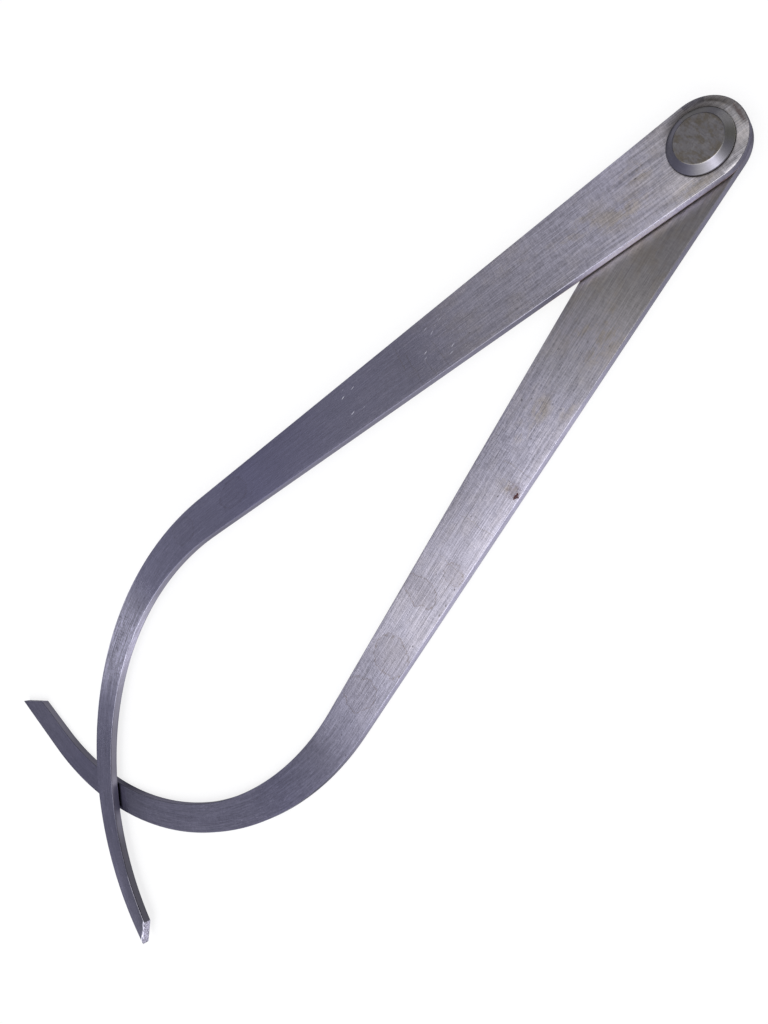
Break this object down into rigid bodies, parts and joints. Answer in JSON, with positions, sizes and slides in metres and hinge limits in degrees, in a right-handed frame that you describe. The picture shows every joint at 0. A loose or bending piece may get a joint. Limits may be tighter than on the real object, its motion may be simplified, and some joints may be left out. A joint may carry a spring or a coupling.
{
  "type": "outside caliper",
  "caption": "Firm-joint outside caliper: flat steel legs with round bows, turning against each other on a bevelled rivet, for gauging round work.",
  "frame": {"origin": "centre of the flat back face of the rear disc, on the pivot axis", "axes": "+Z along the pivot axis from the rear disc to the rivet's head, +Y from the bows to the joint along the line midway between the straight legs, +X to the side that the rear leg bows to"},
  "size_m": [0.089, 0.2624, 0.0084],
  "materials": {
    "leg_steel": "bright steel strip, ground along the legs, hand-worn with fine scratches",
    "joint_steel": "turned steel, darkened, with a polished bevel",
    "washer_brass": "plain rolled brass"
  },
  "bodies": {
    "rear": {"rear_leg": "leg_steel", "joint_rivet": "joint_steel", "rear_disc": "joint_steel", "friction_washer": "washer_brass"},
    "front": {"front_leg": "leg_steel"}
  },
  "joints": [
    {"name": "leg_pivot", "type": "hinge", "parent": "rear", "child": "front", "pos_m": [0, 0, 0], "axis": [0, 0, 1], "continuous": true}
  ]
}
